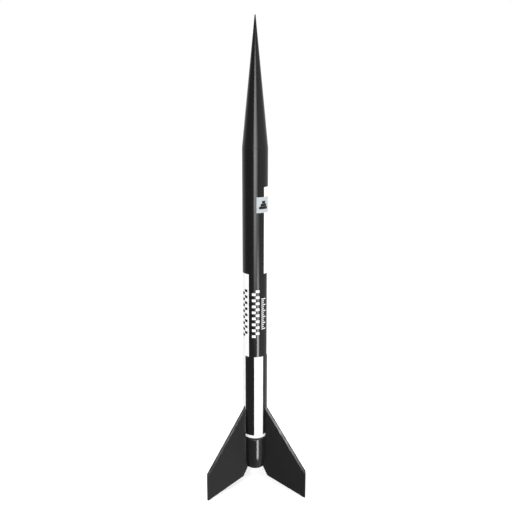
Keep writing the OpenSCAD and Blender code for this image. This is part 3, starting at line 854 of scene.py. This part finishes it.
# Hardened and tempered strip: grey, satin along its length from the rolling mill.
hook_steel, tree, shader = new_material(
    "tempered_spring_steel", "#8b8d90", {"Metallic": 1.0, "Roughness": 0.34}
)
place = add_node(tree, "ShaderNodeTexCoord").outputs["Object"]
long_place = add_node(
    tree, "ShaderNodeVectorMath", {0: place, 1: (1, 1, 0.02)}, operation="MULTIPLY"
).outputs[0]
rolled = add_node(tree, "ShaderNodeTexNoise", {"Vector": long_place, "Scale": 1 / (0.15 * MM), "Detail": 3.0})
rolled_bump = add_node(
    tree, "ShaderNodeBump", {"Strength": 0.2, "Distance": 0.02 * MM, "Height": rolled.outputs["Fac"]}
)
tree.links.new(rolled_bump.outputs[0], shader.inputs["Normal"])
heat = add_node(tree, "ShaderNodeTexNoise", {"Vector": place, "Scale": 1 / (6 * MM), "Detail": 2.0})
steel_tint = add_node(tree, "ShaderNodeMix", {
    "Factor": heat.outputs["Fac"], 6: linear("#7f8286"), 7: linear("#9b9c9c"),
}, data_type="RGBA")
tree.links.new(steel_tint.outputs[2], shader.inputs["Base Color"])


def swept_strip(route, width, thickness, turn):
    """A flat strip along a route of radius and height in the upright plane at a turn. Across the
    route lies its thickness, and square to the plane its width. The corners are broken."""
    run = np.gradient(route, axis=0)
    run /= np.linalg.norm(run, axis=1, keepdims=True)
    across = np.stack([-run[:, 1], run[:, 0]], 1)
    section = rounded([
        (-thickness / 2, -width / 2, 0.15), (thickness / 2, -width / 2, 0.15),
        (thickness / 2, width / 2, 0.15), (-thickness / 2, width / 2, 0.15),
    ], steps=3)
    plane = route[:, None, :] + across[:, None, :] * section[None, :, :1]
    aside = np.broadcast_to(section[None, :, 1], plane.shape[:2])
    x = plane[..., 0] * math.sin(turn) + aside * math.cos(turn)
    y = -plane[..., 0] * math.cos(turn) + aside * math.sin(turn)
    rows, columns = plane.shape[:2]
    faces = grid_faces(rows, columns, wrap_columns=True)
    faces.append(list(range(columns)))
    faces.append(list(range(rows * columns - 1, (rows - 1) * columns - 1, -1)))
    return np.stack([x, y, plane[..., 1]], -1), faces


bends = rounded(
    [(7.0, HOOK_TOP, 0), (HOOK_R, HOOK_TOP, 0.9), (HOOK_R, HOOK_LOW, 0.9), (7.2, HOOK_LOW, 0)], steps=8
)
straight = np.stack([np.full(60, HOOK_R), np.linspace(HOOK_TOP - 0.9, HOOK_LOW + 0.9, 62)[1:-1]], 1)
hook_route = np.vstack([bends[:10], straight, bends[10:]])
points, faces = swept_strip(hook_route, HOOK_W, HOOK_T, math.radians(HOOK_TURN))
hook = add_piece(
    "motor_hook_strip", points, faces, hook_steel, "airframe", ["hook_anchor", "hook_arm"]
)
hook.parent = None
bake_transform(hook)

BAND_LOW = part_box("hook_band")[0][2] / MM
BAND_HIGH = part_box("hook_band")[1][2] / MM


def over_hook(radius, turn, height):
    """The radius, raised by the hook's thickness where the band runs over it, with sloped sides."""
    off = np.abs((np.degrees(turn) - HOOK_TURN + 180) % 360 - 180)
    return radius + (HOOK_T + 0.15) * np.clip((16 - off) / 5, 0, 1)


points, faces = turned(
    rounded([
        (MOUNT_R, BAND_LOW, 0.05), (MOUNT_R + 0.35, BAND_LOW, 0.15),
        (MOUNT_R + 0.35, BAND_HIGH, 0.15), (MOUNT_R, BAND_HIGH, 0.05),
    ], steps=3),
    full_circle,
    relief=over_hook,
)
add_piece("hook_band_paper", points, faces, kraft_tube, "airframe", ["hook_band"])

# --- Launch lugs ----------------------------------------------------------------------
# Two short white paper tubes that slide on the launch rod, each in a bead of white glue.
LUG_TURN = math.radians(150.0)
LUG_BORE_R = 2.0
LUG_R = 2.3

lug_paper, tree, shader = new_material("white_rolled_paper", "#efede6", {"Roughness": 0.6})
place = add_node(tree, "ShaderNodeTexCoord").outputs["Object"]
pulp = add_node(tree, "ShaderNodeTexNoise", {"Vector": place, "Scale": 1 / (0.5 * MM), "Detail": 4.0})
paper_tint = add_node(tree, "ShaderNodeMix", {
    "Factor": pulp.outputs["Fac"], 6: linear("#e4e1d6"), 7: linear("#f7f6f1"),
}, data_type="RGBA")
tree.links.new(paper_tint.outputs[2], shader.inputs["Base Color"])
pulp_bump = add_node(
    tree, "ShaderNodeBump", {"Strength": 0.2, "Distance": 0.03 * MM, "Height": pulp.outputs["Fac"]}
)
tree.links.new(pulp_bump.outputs[0], shader.inputs["Normal"])
# White glue dries clear and glossy, a little yellow.
dry_glue, tree, shader = new_material("dried_white_glue", "#d9d4c2", {"Roughness": 0.22, "IOR": 1.47})
place = add_node(tree, "ShaderNodeTexCoord").outputs["Object"]
smear = add_node(tree, "ShaderNodeTexNoise", {"Vector": place, "Scale": 1 / (2 * MM), "Detail": 2.0})
smear_bump = add_node(
    tree, "ShaderNodeBump", {"Strength": 0.3, "Distance": 0.1 * MM, "Height": smear.outputs["Fac"]}
)
tree.links.new(smear_bump.outputs[0], shader.inputs["Normal"])

lug_axis_r = FILM_R + 0.05 + LUG_R
lug_centre = (lug_axis_r * math.sin(LUG_TURN), -lug_axis_r * math.cos(LUG_TURN))
for end_name in ("forward", "aft"):
    low, high = (corner[2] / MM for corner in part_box(f"launch_lug_{end_name}"))
    points, faces = turned(
        rounded(
            [(LUG_BORE_R, low, 0.08), (LUG_R, low, 0.12), (LUG_R, high, 0.12), (LUG_BORE_R, high, 0.08)],
            steps=3,
        ),
        np.linspace(-180, 180, 61),
        centre=lug_centre,
    )
    add_piece(
        f"launch_lug_{end_name}_tube", points, faces, lug_paper, "airframe",
        [f"launch_lug_{end_name}"],
    )
    # The bead fills the wedge between the two round surfaces and tapers off past the lug's ends.
    aside = np.linspace(-1, 1, 13)
    heights = np.linspace(low - 0.8, high + 0.8, 25)[:, None]
    from_middle = (heights - (low + high) / 2) / ((high - low) / 2 + 0.81)
    half_width = 1.35 * np.sqrt(np.clip(1 - from_middle ** 8, 0, 1))
    on_tube = np.sqrt((FILM_R - 0.05) ** 2 - (aside * half_width) ** 2)
    on_lug = lug_axis_r - np.sqrt((LUG_R - 0.04) ** 2 - (aside * half_width) ** 2)
    bead_out = np.concatenate([on_tube, on_lug[:, ::-1]], 1)
    bead_side = np.concatenate([aside * half_width, (aside * half_width)[:, ::-1]], 1)
    points = np.stack([
        bead_out * math.sin(LUG_TURN) + bead_side * math.cos(LUG_TURN),
        -bead_out * math.cos(LUG_TURN) + bead_side * math.sin(LUG_TURN),
        np.broadcast_to(heights, bead_out.shape),
    ], -1)
    faces = grid_faces(*bead_out.shape, wrap_columns=True)
    faces.append(list(range(26)))
    faces.append(list(range(bead_out.size - 1, bead_out.size - 27, -1)))
    add_piece(f"lug_glue_{end_name}", points, faces, dry_glue, "airframe", [])

# --- Recovery -------------------------------------------------------------------------
# The parachute is a 12 inch canopy of thin film, folded to a long strip and rolled up. It
# rests in the tube below the nose cone. A folded paper anchor is glued to the tube's wall.
CHUTE_R = 13.7
CHUTE_CORE_R = 1.2
CHUTE_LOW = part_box("parachute")[0][2] / MM
CHUTE_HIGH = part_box("parachute")[1][2] / MM
CANOPY_W = 304.8
canopy_area = CANOPY_W ** 2 * math.sqrt(3) / 2
strip_width = CHUTE_HIGH - CHUTE_LOW - 2
strip_length = canopy_area / strip_width
roll_turns = strip_length / (math.pi * (CHUTE_R + CHUTE_CORE_R))

# Thin film, printed in two colours: orange with silver-grey bands. It shines along its creases.
canopy_film, tree, shader = new_material(
    "printed_canopy_film", "#e2571f", {"Roughness": 0.34, "Sheen Weight": 0.15}
)
strip_uv = add_node(tree, "ShaderNodeTexCoord").outputs["UV"]
strip_axes = add_node(tree, "ShaderNodeSeparateXYZ", {0: strip_uv}).outputs
band = add_node(tree, "ShaderNodeMath", {0: strip_axes[0], 1: 0.5}, operation="PINGPONG").outputs[0]
in_band = add_node(tree, "ShaderNodeMath", {0: band, 1: 0.3}, operation="GREATER_THAN").outputs[0]
canopy_colour = add_node(tree, "ShaderNodeMix", {
    "Factor": in_band, 6: linear("#e2571f"), 7: linear("#b4b7bb"),
}, data_type="RGBA")
tree.links.new(canopy_colour.outputs[2], shader.inputs["Base Color"])
place = add_node(tree, "ShaderNodeTexCoord").outputs["Object"]
crease = add_node(tree, "ShaderNodeTexNoise", {"Vector": place, "Scale": 1 / (7 * MM), "Detail": 4.0})
crease_bump = add_node(
    tree, "ShaderNodeBump", {"Strength": 0.5, "Distance": 0.4 * MM, "Height": crease.outputs["Fac"]}
)
tree.links.new(crease_bump.outputs[0], shader.inputs["Normal"])

# The roll is a spiral: its radius grows evenly with the turn. Each layer is a little crumpled by
# waves along and across it, smaller than the gap between layers.
along_roll = np.linspace(0, 1, int(roll_turns * 40))[:, None]
across_roll = np.linspace(0, 1, 25)[None, :]
roll_angle = along_roll * roll_turns * 2 * math.pi
layer_gap = (CHUTE_R - CHUTE_CORE_R) / roll_turns
crumple = 0.3 * layer_gap * (
    np.sin(5 * roll_angle + 9 * across_roll) * np.sin(7 * across_roll + 1.7 * along_roll * roll_turns)
)
roll_radius = CHUTE_CORE_R + (CHUTE_R - layer_gap - CHUTE_CORE_R) * along_roll + crumple
ragged = 0.9 * np.sin(2.3 * roll_angle) * np.sin(0.37 * roll_angle) * (across_roll - 0.5) * 2
roll_height = CHUTE_LOW + 1 + strip_width * across_roll + ragged
points = np.stack([roll_radius * np.sin(roll_angle), -roll_radius * np.cos(roll_angle), roll_height], -1)
canopy = add_piece(
    "parachute_canopy", points, grid_faces(*roll_radius.shape), canopy_film, "parachute", ["parachute"],
    sharp=180,
)
uv_layer = canopy.data.uv_layers.new(name="canopy_strip")
corner_points = np.empty(len(canopy.data.loops), int)
canopy.data.loops.foreach_get("vertex_index", corner_points)
strip_place = np.stack(
    [np.broadcast_to(along_roll * 14, roll_radius.shape), np.broadcast_to(across_roll, roll_radius.shape)], -1
).reshape(-1, 2)
uv_layer.uv.foreach_set("vector", strip_place[corner_points].ravel())

# Three thicknesses of stiff cream paper, folded like a letter and curved to the tube.
anchor_paper, tree, shader = new_material("folded_cream_paper", "#ddd4bd", {"Roughness": 0.8})
place = add_node(tree, "ShaderNodeTexCoord").outputs["Object"]
pulp = add_node(tree, "ShaderNodeTexNoise", {"Vector": place, "Scale": 1 / (0.8 * MM), "Detail": 4.0})
cream = add_node(tree, "ShaderNodeMix", {
    "Factor": pulp.outputs["Fac"], 6: linear("#d0c6ac"), 7: linear("#e8e1cf"),
}, data_type="RGBA")
tree.links.new(cream.outputs[2], shader.inputs["Base Color"])
layers = []
anchor_low, anchor_high = (corner[2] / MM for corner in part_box("shock_cord_mount"))
for layer in range(3):
    outer = TUBE_BORE_R - 0.05 - 0.27 * layer
    outline = rounded([
        (outer - 0.24, anchor_low + layer, 0.08), (outer, anchor_low + layer, 0.08),
        (outer, anchor_high - layer, 0.08), (outer - 0.24, anchor_high - layer, 0.08),
    ], steps=2)
    layers.append(turned(outline, np.linspace(130 + 3 * layer, 230 - 3 * layer, 41)))
points, faces = joined(layers)
add_piece("shock_cord_anchor", points, faces, anchor_paper, "airframe", ["shock_cord_mount"])
